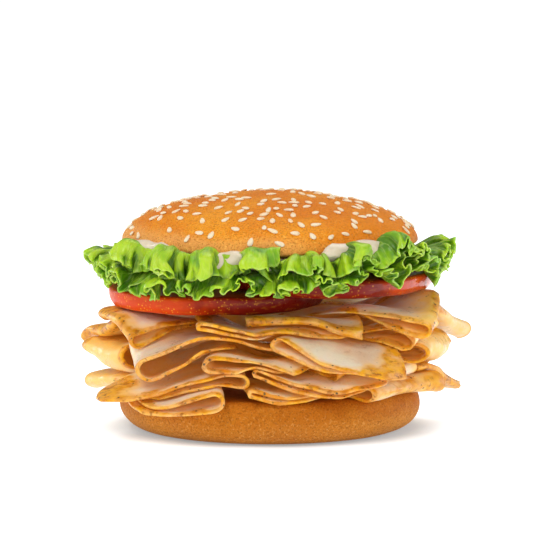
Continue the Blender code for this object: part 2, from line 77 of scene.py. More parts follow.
class Value:
    """A number that varies over a surface: a shader socket that arithmetic can be written with."""

    def __init__(self, graph: "Graph", socket: bpy.types.NodeSocket) -> None:
        """Wraps an output socket of a graph."""
        self.graph = graph
        self.socket = socket

    def math(self, operation: str, *terms: "Value | float") -> "Value":
        """One Math node with its inputs in order."""
        return self.graph.node("ShaderNodeMath", {"operation": operation}, dict(enumerate(terms)))

    def __add__(self, other: "Value | float") -> "Value":
        """Sum."""
        return self.math("ADD", self, other)

    __radd__ = __add__

    def __sub__(self, other: "Value | float") -> "Value":
        """Difference."""
        return self.math("SUBTRACT", self, other)

    def __rsub__(self, other: float) -> "Value":
        """Difference, this one taken away."""
        return self.math("SUBTRACT", other, self)

    def __mul__(self, other: "Value | float") -> "Value":
        """Product."""
        return self.math("MULTIPLY", self, other)

    __rmul__ = __mul__

    def least(self, other: "Value | float") -> "Value":
        """The smaller of the two."""
        return self.math("MINIMUM", self, other)

    def between(self, low: float, high: float) -> "Value":
        """A soft step from 0 at low to 1 at high, or the other way round where low is the larger.

        Args:
            low: where the step gives 0.
            high: where the step gives 1.

        Returns:
            The stepped value.
        """
        flip = low > high
        ends = (high, low) if flip else (low, high)
        sockets = {"Value": self, "From Min": ends[0], "From Max": ends[1]}
        step = self.graph.node("ShaderNodeMapRange", {"interpolation_type": "SMOOTHSTEP"}, sockets)
        return 1 - step if flip else step


class Graph:
    """The shader graph of one Principled material."""

    def __init__(self, name: str) -> None:
        """Starts an empty material.

        Args:
            name: the material's name.
        """
        self.material = bpy.data.materials.new(name)
        self.material.use_nodes = True
        self.tree = self.material.node_tree
        self.shader = self.tree.nodes["Principled BSDF"]

    def node(self, kind: str, settings: dict, sockets: dict, output: int | str = 0) -> Value:
        """Adds a node.

        Args:
            kind: the node's type.
            settings: its properties, set before its sockets.
            sockets: a number, a colour or a Value for each socket, by name or by place.
            output: the output that is wanted.

        Returns:
            The node's output.
        """
        made = self.tree.nodes.new(kind)
        for key, setting in settings.items():
            setattr(made, key, setting)
        for key, given in sockets.items():
            if isinstance(given, Value):
                self.tree.links.new(given.socket, made.inputs[key])
            else:
                made.inputs[key].default_value = given
        return Value(self, made.outputs[output])

    def place(self, stretch: Colour = (1, 1, 1)) -> Value:
        """Object coordinates in millimetres, stretched along each axis."""
        spot = self.node("ShaderNodeTexCoord", {}, {}, "Object")
        scale = tuple(share / MM for share in stretch)
        return self.node("ShaderNodeVectorMath", {"operation": "MULTIPLY"}, {0: spot, 1: scale})

    def attribute(self, name: str, output: str = "Fac") -> Value:
        """A value or a vector that the mesh carries at its points."""
        return self.node("ShaderNodeAttribute", {"attribute_name": name}, {}, output)

    def noise(self, size: float, detail: float = 2, rough: float = 0.5, at: Value | None = None) -> Value:
        """Cloudy noise from 0 to 1, with blotches of a size in millimetres and so many finer layers."""
        sockets = {"Vector": at or self.place(), "Scale": 1 / size, "Detail": detail, "Roughness": rough}
        return self.node("ShaderNodeTexNoise", {}, sockets, "Fac")

    def cells(self, size: float, at: Value | None = None, feature: str = "F1") -> Value:
        """A distance within Voronoi cells of a size in millimetres."""
        sockets = {"Vector": at or self.place(), "Scale": 1 / size}
        return self.node("ShaderNodeTexVoronoi", {"feature": feature}, sockets, "Distance")

    def mix(self, share: Value | float, first: Value | Colour, second: Value | Colour) -> Value:
        """A blend of two colours.

        Args:
            share: how much of the second is taken.
            first: a colour.
            second: a colour.

        Returns:
            The blended colour.
        """
        first = first if isinstance(first, Value) else (*first, 1)
        second = second if isinstance(second, Value) else (*second, 1)
        return self.node("ShaderNodeMix", {"data_type": "RGBA"}, {0: share, 6: first, 7: second}, 2)

    def relief(self, height: Value, depth: float, strength: float = 1.0, under: Value | None = None) -> Value:
        """A bumped normal.

        Args:
            height: the relief from 0 to 1.
            depth: how high 1 is, in millimetres.
            strength: how much of the relief shows.
            under: a coarser normal that it lies on.

        Returns:
            The normal.
        """
        sockets = {"Strength": strength, "Distance": depth * MM, "Height": height}
        if under:
            sockets["Normal"] = under
        return self.node("ShaderNodeBump", {}, sockets)

    def feed(self, name: str, value: Value) -> None:
        """Connects a value to one of the shader's sockets."""
        self.tree.links.new(value.socket, self.shader.inputs[name])

    def finish(
        self, colour: Value, rough: Value, normal: Value, **constants: float | Colour
    ) -> bpy.types.Material:
        """Connects the Principled shader.

        Args:
            colour: the base colour.
            rough: the roughness.
            normal: the normal.
            constants: the shader's other sockets, with _ for each space in their names.

        Returns:
            The material.
        """
        self.feed("Base Color", colour)
        self.feed("Roughness", rough)
        self.feed("Normal", normal)
        for name, number in constants.items():
            self.shader.inputs[name.replace("_", " ")].default_value = number
        return self.material


@dataclass(frozen=True)
class CrustFinish:
    """Baked crust: golden to deep orange-brown, finely pored, with pale blisters."""

    name: str
    pale: Colour
    gold: Colour
    deep: Colour
    blister: Colour
    dust_and_light_amount: float
    flecks: float
    pits: float
    rough: float

    def build(self) -> bpy.types.Material:
        """The material."""
        g = Graph(self.name)
        broad = g.noise(26, 3, 0.5)
        mottle = g.noise(3.2, 4, 0.6)
        speck = g.noise(1.0, 2, 0.75)
        pores = g.noise(0.7, 3, 0.65)
        low = g.attribute("dust_and_painted_light")
        colour = g.mix(broad.between(0.35, 0.68), self.gold, self.deep)
        colour = g.mix((mottle - 0.5).between(-0.02, 0.22) * 0.4, colour, self.deep)
        colour = g.mix(speck.between(0.5, 0.36) * 0.45, colour, self.deep)
        # paler where flour dust lies, partly painted light: a painted sheen low on the crown's left, and on
        # the heel a top kept darker as painted shadow
        dust_and_light_share = (low + (broad - 0.5) * 1.4).between(0.25, 0.95) * self.dust_and_light_amount
        colour = g.mix(dust_and_light_share, colour, self.pale)
        # deeper colour where the piece's share says: painted shade in the middle of the heel, deeper orange
        # to the right on the crown
        colour = g.mix(g.attribute("deeper_share") * 0.75, colour, self.deep)
        flecks = speck.between(0.54, 0.68) * (0.3 + low * 0.7)
        colour = g.mix(flecks * self.flecks, colour, self.blister)
        colour = g.mix(pores.between(0.5, 0.36) * self.pits, colour, tuple(0.5 * c for c in self.deep))
        rough = self.rough + (mottle - 0.5) * 0.25 + dust_and_light_share * 0.12
        coarse = g.relief(mottle, 0.5, 0.3)
        normal = g.relief(pores * 0.6 + speck * 0.4, 0.6, 1.0, coarse)
        soft = {"Subsurface_Weight": 0.05, "Subsurface_Scale": 0.001}
        return g.finish(colour, rough, normal, Specular_IOR_Level=0.1, **soft)


@dataclass(frozen=True)
class SeedFinish:
    """Hulled sesame: ivory with a faint warm tip."""

    name: str
    ivory: Colour
    toast: Colour

    def build(self) -> bpy.types.Material:
        """The material."""
        g = Graph(self.name)
        tint = g.noise(2.4, 2, 0.5)
        grain = g.noise(0.4, 2, 0.5)
        tip = g.attribute("tip")
        colour = g.mix((tint.between(0.42, 0.75) * 0.55 + tip * 0.35).least(1.0), self.ivory, self.toast)
        rough = 0.42 + grain * 0.16
        soft = {"Subsurface_Weight": 0.1, "Subsurface_Scale": 0.001}
        return g.finish(colour, rough, g.relief(grain, 0.05, 0.5), **soft)


@dataclass(frozen=True)
class TurkeyFinish:
    """Moist roast turkey: cream faces, a painted orange glow with faint emission in the hollows of the folds,
    a painted warmer glow at the outer ends, and a golden peppered rim.
    """

    name: str
    pale: Colour
    pink: Colour
    warm: Colour
    glow: Colour
    gold: Colour
    amber: Colour
    brown: Colour
    pepper: Colour

    def build(self) -> bpy.types.Material:
        """The material."""
        g = Graph(self.name)
        rim = g.attribute("rim")
        tone_and_painted_glow = g.attribute("tone_and_painted_glow")
        painted_fold_glow = g.attribute("painted_fold_glow")
        cloud = g.noise(13, 3, 0.55)
        blotch = g.noise(3.4, 3, 0.6)
        fibre = g.noise(0.8, 3, 0.6, g.place((1, 1, 2.2)))
        band = g.noise(13, 2, 0.5).between(0.42, 0.68)
        ragged = rim - band * 3.2 + (blotch - 0.5) * 2.2 - 0.4
        colour = g.mix(cloud.between(0.38, 0.64), self.pale, self.pink)
        colour = g.mix((fibre - 0.5).between(0.0, 0.35) * 0.25, colour, self.pink)
        # painted glow: the hollows of the folds are tinted orange, standing in for light that shines through
        # and bounces inside them
        colour = g.mix((painted_fold_glow + (blotch - 0.5) * 0.4).between(0.4, 1.0) * 0.75, colour, self.glow)
        # each slice's own random tone, plus a painted warm glow towards the outer ends of the pile
        colour = g.mix((tone_and_painted_glow + (blotch - 0.5) * 0.6).between(0.3, 1.0) * 0.85, colour, self.warm)
        skin = g.mix(g.noise(6, 3, 0.6).between(0.36, 0.6), self.gold, self.amber)
        colour = g.mix(ragged.between(3.2, 0.4) * 0.5, colour, self.warm)
        browned = 0.7 + g.noise(5, 2, 0.5).between(0.4, 0.6) * 0.3
        colour = g.mix(ragged.between(1.0, -0.5) * browned, colour, skin)
        crisp = ragged.between(0.2, -1.8) * g.noise(2.4, 3, 0.6).between(0.5, 0.66)
        colour = g.mix(crisp * 0.85, colour, self.brown)
        grounds = g.cells(2.3).between(0.24, 0.15) * g.noise(6, 2, 0.5).between(0.5, 0.58)
        peppered = grounds * (0.1 + ragged.between(3.2, 0.8))
        colour = g.mix(peppered.least(1.0) * 0.9, colour, self.pepper)
        wet = g.noise(8, 3, 0.6).between(0.46, 0.6)
        rough = 0.44 + (blotch - 0.5) * 0.3 - wet * 0.14 + grounds * 0.1
        coarse = g.relief(blotch, 0.7, 0.35)
        normal = g.relief(fibre, 0.22, 0.45, coarse)
        g.feed("Coat Weight", wet * 0.25 * (1 - painted_fold_glow))
        # painted glow: the same hollows also give off a faint orange emission
        g.feed("Emission Color", g.mix(painted_fold_glow.between(0.45, 1.0), BLACK, self.glow))
        return g.finish(
            colour, rough, normal, Specular_IOR_Level=0.3, Emission_Strength=0.035, Coat_Roughness=0.14,
            Subsurface_Weight=0.3, Subsurface_Radius=(1.0, 0.5, 0.2), Subsurface_Scale=0.002,
        )


@dataclass(frozen=True)
class TomatoFinish:
    """Ripe tomato: taut wet skin round the edge, seeded flesh inside it."""

    name: str
    skin: Colour
    bright: Colour
    orange: Colour
    flesh: Colour
    jelly: Colour

    def build(self) -> bpy.types.Material:
        """The material."""
        g = Graph(self.name)
        inward = g.attribute("inward")
        painted_shade_and_deep_red = g.attribute("painted_shade_and_deep_red")
        wet = g.attribute("wet")
        wall = g.noise(5.5, 3, 0.55)
        fine = g.noise(0.9, 3, 0.7)
        streaks = g.noise(1.6, 3, 0.6, g.place((0.25, 0.25, 1)))
        # bright red at the far left and deep red towards the middle, partly the tomato's own deep red and
        # partly painted shade under the lettuce
        colour = g.mix((painted_shade_and_deep_red + (wall - 0.5) * 0.7).between(0.2, 0.85), self.bright, self.skin)
        colour = g.mix(streaks.between(0.55, 0.75) * 0.3, colour, self.orange)
        dots = g.cells(1.3).between(0.32, 0.16) * g.noise(5, 2, 0.5).between(0.42, 0.54)
        colour = g.mix(dots * (1 - painted_shade_and_deep_red * 0.6) * 0.9, colour, self.orange)
        chambers = g.cells(15, feature="SMOOTH_F1").between(0.28, 0.5)
        inside = g.mix(chambers, self.jelly, self.flesh)
        inside = g.mix(fine.between(0.5, 0.7) * 0.4, inside, self.orange)
        colour = g.mix(inward.between(1.2, 2.4), colour, inside)
        drops = g.cells(2.6).between(0.5, 0.22) * g.noise(7, 2, 0.5).between(0.48, 0.56)
        rough = 0.3 + fine * 0.14 - painted_shade_and_deep_red * 0.08
        normal = g.relief(fine, 0.16, 0.4, g.relief(wall, 0.8, 0.35))
        normal = g.relief(drops * wet, 0.5, 0.6, normal)
        g.feed("Coat Weight", wet)
        return g.finish(
            colour, rough, normal, Specular_IOR_Level=0.16, Coat_Roughness=0.1, Subsurface_Weight=0.1,
            Subsurface_Radius=(1.0, 0.2, 0.1), Subsurface_Scale=0.002,
        )


@dataclass(frozen=True)
class LettuceFinish:
    """Crisp frilled lettuce: yellow-green to green, painted deep green shade in the nooks, with veins and a
    pale rim.
    """

    name: str
    lime: Colour
    green: Colour
    deep: Colour
    rib: Colour
    fringe: Colour

    def build(self) -> bpy.types.Material:
        """The material."""
        g = Graph(self.name)
        edge = g.attribute("edge")
        painted_nook_shade = g.attribute("painted_nook_shade")
        sheet = g.attribute("sheet", "Vector")
        bend = g.node("ShaderNodeVectorMath", {"operation": "MULTIPLY"}, {0: sheet, 1: (1.0, 0.45, 1.0)})
        patch = g.noise(9, 3, 0.55)
        blister = g.cells(2.6, sheet, "SMOOTH_F1")
        net = g.cells(3.4, bend, "DISTANCE_TO_EDGE")
        veins = net.between(0.08, 0.0)
        colour = g.mix(patch.between(0.4, 0.66), self.lime, self.green)
        colour = g.mix(edge.between(0.62, 0.1) * 0.35, colour, self.rib)
        # painted shade: deep green where the sheets hide each other
        colour = g.mix((painted_nook_shade + (patch - 0.5) * 0.5).between(0.14, 0.7) * 0.88, colour, self.deep)
        colour = g.mix(g.noise(3.2, 3, 0.6).between(0.52, 0.78) * 0.4, colour, self.green)
        colour = g.mix(veins * 0.28, colour, self.rib)
        crisp = edge.between(0.955, 1.0) * g.noise(4.5, 2, 0.5).between(0.42, 0.64)
        colour = g.mix(crisp * 0.35, colour, self.fringe)
        rough = 0.36 + (blister - 0.4) * 0.16
        normal = g.relief(blister * -1.0, 0.5, 0.4)
        normal = g.relief(veins, 0.25, 0.4, normal)
        return g.finish(
            colour, rough, normal, Specular_IOR_Level=0.4, Subsurface_Weight=0.3,
            Subsurface_Radius=(0.5, 1.0, 0.1), Subsurface_Scale=0.002,
        )


@dataclass(frozen=True)
class CreamFinish:
    """Mayonnaise: smooth, off-white, faintly uneven."""

    name: str
    cream: Colour
    shade: Colour

    def build(self) -> bpy.types.Material:
        """The material."""
        g = Graph(self.name)
        swirl = g.noise(4.5, 3, 0.5)
        fine = g.noise(0.9, 2, 0.5)
        colour = g.mix(swirl.between(0.4, 0.7) * 0.6, self.cream, self.shade)
        rough = 0.24 + fine * 0.12
        return g.finish(
            colour, rough, g.relief(swirl, 0.8, 0.4), Specular_IOR_Level=0.5, Subsurface_Weight=0.3,
            Subsurface_Radius=(1.0, 0.8, 0.5), Subsurface_Scale=0.002,
        )


class Finish(Enum):
    """Every finish on the sandwich."""

    CROWN = CrustFinish(
        name="crown crust", pale=(0.80, 0.38, 0.10), gold=(0.88, 0.34, 0.014), deep=(0.74, 0.20, 0.003),
        blister=(0.98, 0.58, 0.12), dust_and_light_amount=0.75, flecks=0.7, pits=0.6, rough=0.42,
    )
    HEEL = CrustFinish(
        name="heel crust", pale=(0.72, 0.32, 0.06), gold=(0.66, 0.235, 0.016), deep=(0.45, 0.12, 0.004),
        blister=(0.78, 0.42, 0.12), dust_and_light_amount=0.4, flecks=0.5, pits=0.6, rough=0.62,
    )
    SEEDS = SeedFinish(name="sesame", ivory=(0.86, 0.74, 0.54), toast=(0.80, 0.56, 0.28))
    TURKEY = TurkeyFinish(
        name="roast turkey", pale=(0.88, 0.745, 0.575), pink=(0.83, 0.60, 0.415), warm=(0.95, 0.53, 0.07),
        glow=(1.0, 0.50, 0.06), gold=(0.88, 0.43, 0.012), amber=(0.68, 0.25, 0.006),
        brown=(0.36, 0.11, 0.006), pepper=(0.04, 0.022, 0.01),
    )
    TOMATO = TomatoFinish(
        name="tomato", skin=(0.22, 0.008, 0.003), bright=(0.72, 0.06, 0.003), orange=(0.95, 0.38, 0.02),
        flesh=(0.62, 0.08, 0.02), jelly=(0.55, 0.12, 0.01),
    )
    LETTUCE = LettuceFinish(
        name="lettuce", lime=(0.42, 0.63, 0.014), green=(0.19, 0.43, 0.006), deep=(0.035, 0.13, 0.002),
        rib=(0.52, 0.68, 0.09), fringe=(0.68, 0.80, 0.26),
    )
    CREAM = CreamFinish(name="mayonnaise", cream=(0.74, 0.63, 0.48), shade=(0.60, 0.49, 0.33))


class Wardrobe:
    """Builds each finish once and hands it out."""

    def __init__(self) -> None:
        """Starts with nothing built."""
        self.made: dict[Finish, bpy.types.Material] = {}

    def material(self, finish: Finish) -> bpy.types.Material:
        """The material of a finish."""
        if finish not in self.made:
            self.made[finish] = finish.value.build()
        return self.made[finish]


def smooth_noise(count: int, knots: int, rng: np.random.Generator) -> np.ndarray:
    """A smooth random line.

    Args:
        count: how many values.
        knots: how many random heights it passes near.
        rng: the source of the heights.

    Returns:
        Values from about -1 to 1.
    """
    heights = rng.uniform(-1, 1, knots + 3)
    place = np.linspace(0, knots - 1e-6, count)
    index = place.astype(int)
    share = place - index
    a, b, c, d = (heights[index + k] for k in range(4))
    return (
        a * (1 - share) ** 3
        + b * (3 * share**3 - 6 * share**2 + 4)
        + c * (-3 * share**3 + 3 * share**2 + 3 * share + 1)
        + d * share**3
    ) / 6 * 1.5


def clamped(value: float) -> float:
    """The value kept between 0 and 1."""
    return min(1.0, max(0.0, value))


def soft_step(value: np.ndarray, low: float, high: float) -> np.ndarray:
    """A soft step from 0 at low to 1 at high."""
    share = np.clip((value - low) / (high - low), 0, 1)
    return share * share * (3 - 2 * share)


def wavy(point: Vector, size: float, depth: float, seed: float = 0.0) -> Vector:
    """A smooth random shift at a point, in waves of a size that reach so far, all in millimetres."""
    return noise.noise_vector(point / size + Vector((seed, seed * 1.7, -seed))) * depth


def shifts(points: np.ndarray, waves: tuple[Wave, ...]) -> np.ndarray:
    """The sum of several wavy shifts at each point, in the points' own layout."""
    rows = [sum((wavy(Vector(p), *wave) for wave in waves), Vector()) for p in points.reshape(-1, 3)]
    return np.array(rows).reshape(points.shape)


def settled(name: str, bm: bmesh.types.BMesh) -> bpy.types.Mesh:
    """A mesh in metres from a bmesh in millimetres, which is used up."""
    bmesh.ops.scale(bm, vec=(MM, MM, MM), verts=bm.verts)
    mesh = bpy.data.meshes.new(name)
    bm.to_mesh(mesh)
    bm.free()
    return mesh


def quads(bm: bmesh.types.BMesh) -> None:
    """Joins pairs of triangles to quads."""
    bmesh.ops.join_triangles(
        bm, faces=bm.faces, angle_face_threshold=QUAD_ANGLE, angle_shape_threshold=QUAD_ANGLE
    )


@dataclass
class Maker:
    """What every sub-assembly needs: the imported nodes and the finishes."""

    nodes: dict[str, bpy.types.Object]
    wardrobe: Wardrobe
    made: list[str] = field(default_factory=list)

    def piece(
        self, name: str, bm: bmesh.types.BMesh, finish: Finish, slot: str, replaced: list[str]
    ) -> bpy.types.Object:
        """Turns a bmesh in millimetres into a finished piece.

        Args:
            name: the piece's name.
            bm: its mesh, which is used up.
            finish: its finish.
            slot: its material slot in the record.
            replaced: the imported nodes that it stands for.

        Returns:
            The piece.
        """
        mesh = settled(name, bm)
        mesh.shade_smooth()
        return self.wear(bpy.data.objects.new(name, mesh), finish, slot, replaced)

    def wear(self, obj: bpy.types.Object, finish: Finish, slot: str, replaced: list[str]) -> bpy.types.Object:
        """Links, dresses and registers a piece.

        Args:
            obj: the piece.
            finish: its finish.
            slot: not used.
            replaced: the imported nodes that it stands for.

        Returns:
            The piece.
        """
        bpy.context.scene.collection.objects.link(obj)
        obj.data.materials.clear()
        obj.data.materials.append(self.wardrobe.material(finish))
        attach(obj, "root")
        if replaced:
            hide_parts(*replaced)
        self.made.append(obj.name)
        log.info("%s: %d faces", obj.name, len(obj.data.polygons))
        return obj

    def refined(self, name: str, bm: bmesh.types.BMesh, kind: str, **settings: float) -> bpy.types.Object:
        """Turns a bmesh in millimetres into an object whose mesh one modifier has worked on.

        Args:
            name: the object's name.
            bm: its mesh, which is used up.
            kind: the modifier's type.
            settings: the modifier's settings.

        Returns:
            The object, not yet in the scene, with the modifier applied.
        """
        obj = bpy.data.objects.new(name, settled(name, bm))
        bpy.context.scene.collection.objects.link(obj)
        modifier = obj.modifiers.new("finer", kind)
        for key, setting in settings.items():
            setattr(modifier, key, setting)
        graph = bpy.context.evaluated_depsgraph_get()
        fine = bpy.data.meshes.new_from_object(obj.evaluated_get(graph))
        obj.modifiers.clear()
        obj.data = fine
        bpy.context.scene.collection.objects.unlink(obj)
        fine.shade_smooth()
        return obj

    def copied(self, node: str) -> bmesh.types.BMesh:
        """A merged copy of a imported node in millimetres.

        Args:
            node: the node's name.

        Returns:
            Its mesh.
        """
        bm = bmesh.new()
        bm.from_mesh(self.nodes[node].data)
        bmesh.ops.scale(bm, vec=(1 / MM,) * 3, verts=bm.verts)
        bmesh.ops.remove_doubles(bm, verts=bm.verts, dist=MERGE_GAP)
        return bm


def put_values(mesh: bpy.types.Mesh, name: str, values: np.ndarray) -> None:
    """Stores one number or vector at each point of a mesh.

    Args:
        mesh: the mesh.
        name: the attribute's name.
        values: the numbers, or rows of three.
    """
    vector = values.ndim == 2
    layer = mesh.attributes.new(name, "FLOAT_VECTOR" if vector else "FLOAT", "POINT")
    layer.data.foreach_set("vector" if vector else "value", values.astype(np.float32).ravel())


def points_of(mesh: bpy.types.Mesh) -> np.ndarray:
    """The mesh's points in millimetres."""
    flat = np.empty(len(mesh.vertices) * 3, np.float32)
    mesh.vertices.foreach_get("co", flat)
    return flat.reshape(-1, 3).astype(float) / MM


def surface_of(meshes: list[bpy.types.Mesh]) -> BVHTree:
    """A search tree over the faces of some meshes, in millimetres."""
    points, faces = [], []
    for mesh in meshes:
        first = len(points)
        points += [Vector(point) for point in points_of(mesh)]
        faces += [tuple(first + v for v in face.vertices) for face in mesh.polygons]
    return BVHTree.FromPolygons(points, faces)


def hidden_share(points: np.ndarray, tree: BVHTree, reach: float, start: float) -> np.ndarray:
    """How much of the view from each point outwards is blocked close by.

    Args:
        points: the points in millimetres.
        tree: the surfaces that block the view.
        reach: how far off they count.
        start: how far from the point the view starts.

    Returns:
        A share from 0 to 1 for each point.
    """
    spread = 0.9
    looks = [(s * spread, u * spread) for s in (-1, 0, 1) for u in (-1, 0, 1)]
    blocked = np.zeros(len(points))
    for k, point in enumerate(points):
        spot = Vector(point)
        out = Vector((point[0], point[1], 0)).normalized()
        side = Vector((-out.y, out.x, 0))
        for across, up in looks:
            look = (out + side * across + Vector((0, 0, up))).normalized()
            if tree.ray_cast(spot + look * start, look, reach)[0] is not None:
                blocked[k] += 1
    return blocked / len(looks)


def turned(profile: Profile, steps: int) -> bmesh.types.BMesh:
    """A closed shape turned round Z.

    Args:
        profile: radius and height of each point, from the axis on top to the axis below.
        steps: how many steps a full turn has.

    Returns:
        The shape in millimetres.
    """
    bm = bmesh.new()
    verts = [bm.verts.new((radius, 0, height)) for radius, height in profile]
    edges = [bm.edges.new(pair) for pair in zip(verts, verts[1:])]
    bmesh.ops.spin(
        bm,
        geom=verts + edges,
        cent=(0, 0, 0),
        axis=(0, 0, 1),
        angle=math.tau,
        steps=steps,
        use_merge=True,
        use_normal_flip=False,
        use_duplicate=False,
    )
    bmesh.ops.remove_doubles(bm, verts=bm.verts, dist=0.001)
    bmesh.ops.recalc_face_normals(bm, faces=bm.faces)
    return bm


def uneven(bm: bmesh.types.BMesh, wave: Wave, keep: Callable[[Vector], float]) -> None:
    """Moves a mesh's points by smooth noise, of which each takes the share that keep gives."""
    for vert in bm.verts:
        vert.co += wavy(vert.co, *wave) * keep(vert.co)


def arc(centre: Point, radii: Point, start: float, end: float, count: int) -> Profile:
    """Points on an ellipse's arc between two angles in degrees, as radius and height."""
    angles = np.radians(np.linspace(start, end, count))
    return [(centre[0] + radii[0] * math.cos(a), centre[1] + radii[1] * math.sin(a)) for a in angles]


@dataclass
class Heel:
    """The bun heel: a low round cushion, flat below and above."""

    maker: Maker
    radius: float = 57.0
    height: float = 16.5
    foot_radius: float = 45.0
    top_radius: float = 52.0
    widest_at: float = 9.5
    steps: int = 160
    wave: Wave = (17, 0.7, 3.1)

    def build(self) -> None:
        """Builds the heel."""
        upper = self.height - self.widest_at
        profile = [(0, self.height), (20, self.height), (40, self.height)]
        profile += arc((self.top_radius, self.widest_at), (self.radius - self.top_radius, upper), 90, 0, 12)
        flank = (self.radius - self.foot_radius, self.widest_at)
        profile += arc((self.foot_radius, self.widest_at), flank, -8, -90, 14)
        profile += [(30, 0), (15, 0), (0, 0)]
        bm = turned(profile, self.steps)
        uneven(bm, self.wave, lambda co: clamped(co.z / 4) * clamped((16.4 - co.z) / 3))
        piece = self.maker.piece("heel_crust", bm, Finish.HEEL, "crust", ["bun_heel"])
        points = points_of(piece.data)
        # paler towards the foot as flour dust; the top stays darker, a painted shadow under the turkey
        put_values(piece.data, "dust_and_painted_light", 0.8 * soft_step(points[:, 2], 14, 5))
        # painted shade: deeper in the middle, the ends paler where light falls on them
        put_values(piece.data, "deeper_share", 0.7 * (1 - soft_step(np.abs(points[:, 0]), 12, 50)))


@dataclass
class Crown:
    """The bun crown: a flattened dome with a lip curled in under it, strewn with sesame."""

    maker: Maker
    radius: float = 56.0
    height: float = 20.0
    cut_radius: float = 50.0
    widest_at: float = 1.8
    roundness: float = 1.85
    steps: int = 180
    wave: Wave = (21, 0.75, 7.7)
    fixed_seeds: int = 60
    extra_seeds: int = 165
    seed_size: tuple[float, float, float] = (3.9, 2.5, 1.3)
    seed_reach_deg: float = 70.0
    extra_reach_deg: float = 77.0
    seed_crowding: float = 0.42
    seed_taper: float = 0.42
    seed_gaps: Point = (2.6, 5.4)

    def __post_init__(self) -> None:
        """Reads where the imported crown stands."""
        self.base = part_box("bun_crown")[0].z / MM

    def dome(self, radius: float) -> float:
        """The dome's height at a radius."""
        inner = max(0.0, 1 - (radius / self.radius) ** self.roundness)
        rise = self.height - self.widest_at
        return self.base + self.widest_at + rise * inner ** (1 / self.roundness)

    def build(self) -> None:
        """Builds the crust and its seeds."""
        shoulder = self.base + self.widest_at
        rise = self.height - self.widest_at
        profile = [(0.0, shoulder + rise)]
        for angle in np.radians(np.linspace(90, 0, 42))[1:]:
            across = self.radius * math.cos(angle) ** (2 / self.roundness)
            profile.append((across, shoulder + rise * math.sin(angle) ** (2 / self.roundness)))
        lip = (self.radius - self.cut_radius, self.widest_at)
        profile += arc((self.cut_radius, shoulder), lip, -9, -90, 10)
        profile += [(34, self.base), (17, self.base), (0, self.base)]
        bm = turned(profile, self.steps)
        uneven(bm, self.wave, lambda co: clamped((co.z - self.base) / 5))
        crust = self.maker.piece("crown_crust", bm, Finish.CROWN, "crust", ["bun_crown"])
        points = points_of(crust.data)
        put_values(crust.data, "dust_and_painted_light", self.sheen(points))
        # deeper orange towards the right
        put_values(crust.data, "deeper_share", soft_step(points[:, 0], 0, 50))
        self.build_seeds(surface_of([crust.data]))

    def sheen(self, points: np.ndarray) -> np.ndarray:
        """How pale each point of the crust is, from flour dust and a painted sheen: more towards the lip,
        less on the right.
        """
        down = soft_step(points[:, 2], self.base + 0.62 * self.height, self.base + 3)
        return down * (1 - 0.8 * soft_step(points[:, 0], 2, 38))

    def seed_places(self) -> list[tuple[float, float, float]]:
        """Radius, direction and turn of every seed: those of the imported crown, then more between them."""
        draw = np.random.default_rng(5)
        golden = math.pi * (3 - math.sqrt(5))
        reach = self.radius * math.sin(math.radians(self.seed_reach_deg))
        found = []
        for i in range(self.fixed_seeds):
            share = math.sqrt((i + 0.5) / self.fixed_seeds)
            out = abs(share * reach + draw.normal(0, 1.0))
            found.append((out, i * golden + draw.normal(0, 0.05), draw.uniform(0, math.pi)))
        spots = [(out * math.cos(a), out * math.sin(a)) for out, a, _ in found]
        reach = self.radius * math.sin(math.radians(self.extra_reach_deg))
        while len(found) < self.fixed_seeds + self.extra_seeds:
            out = reach * draw.uniform(0, 1) ** self.seed_crowding
            around = draw.uniform(0, math.tau)
            spot = (out * math.cos(around), out * math.sin(around))
            bare = min(math.dist(spot, other) for other in spots)
            if bare > draw.uniform(*self.seed_gaps):
                spots.append(spot)
                found.append((out, around, draw.uniform(0, math.pi)))
        return found

    def build_seeds(self, crust: BVHTree) -> None:
        """Builds all the seeds as one piece.

        Args:
            crust: the crust's surface, on which they lie.
        """
        draw = np.random.default_rng(11)
        bm = bmesh.new()
        tips = []
        for out, around, spin in self.seed_places():
            above = Vector((out * math.cos(around), out * math.sin(around), self.base + self.height + 10))
            spot, normal, _, _ = crust.ray_cast(above, Vector((0, 0, -1)))
            length, width, thick = (side * draw.uniform(0.86, 1.14) for side in self.seed_size)
            before = set(bm.verts)
            bmesh.ops.create_uvsphere(bm, u_segments=10, v_segments=6, radius=0.5)
            fresh = [v for v in bm.verts if v not in before]
            for vert in fresh:
                along = vert.co.z
                narrow = 1 - self.seed_taper * (along + 0.5)
                vert.co = Vector((along * length, vert.co.x * width * narrow, vert.co.y * thick * narrow))
                tips.append(along + 0.5)
            lie = normal.to_track_quat("Z", "Y").to_matrix().to_4x4()
            turn = Matrix.Rotation(spin, 4, "Z") @ Matrix.Rotation(draw.normal(0, 0.1), 4, "Y")
            place = Matrix.Translation(spot + normal * thick * 0.2) @ lie @ turn
            bmesh.ops.transform(bm, matrix=place, verts=fresh)
        piece = self.maker.piece("sesame_seeds", bm, Finish.SEEDS, "crust", [])
        put_values(piece.data, "tip", np.array(tips))


